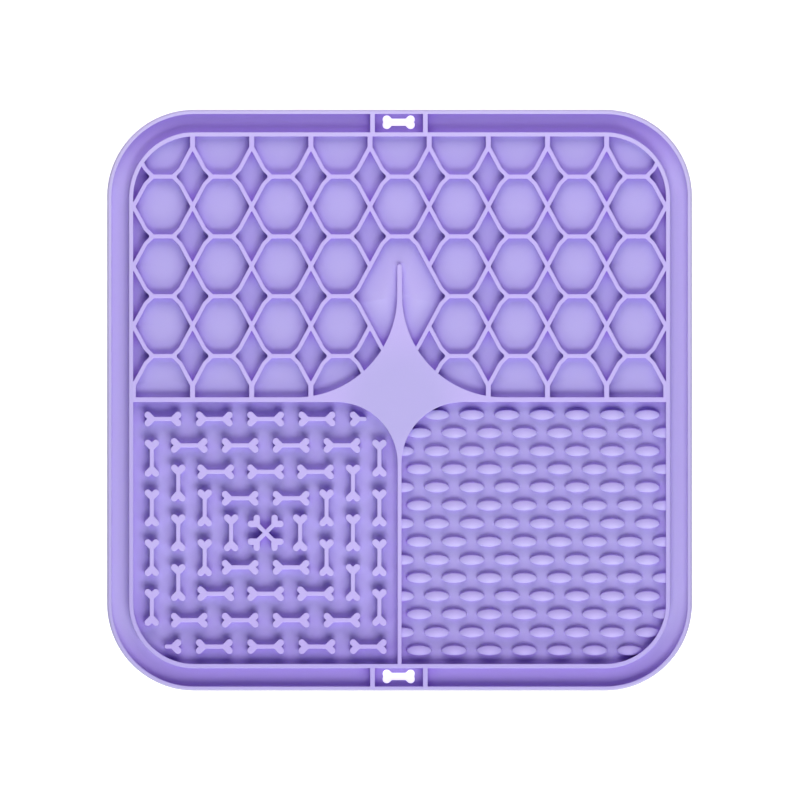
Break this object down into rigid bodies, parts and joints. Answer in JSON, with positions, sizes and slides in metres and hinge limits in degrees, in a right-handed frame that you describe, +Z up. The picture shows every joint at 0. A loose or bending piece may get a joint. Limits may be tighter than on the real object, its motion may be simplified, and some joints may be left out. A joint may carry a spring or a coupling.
{
  "type": "lick mat",
  "caption": "Flat square silicone mat for feeding a pet, with a raised lip and shallow fields of honeycomb cells, small bones and oval bumps round a four-pointed star.",
  "frame": {"origin": "middle of the flat underside", "axes": "+Z up out of the moulded face, +Y towards the edge behind the honeycomb field, +X to the right as seen from above"},
  "size_m": [0.2, 0.1986, 0.006],
  "materials": {
    "silicone": "soft matt lilac silicone"
  },
  "bodies": {
    "root": {"mat": "silicone"}
  },
  "joints": []
}
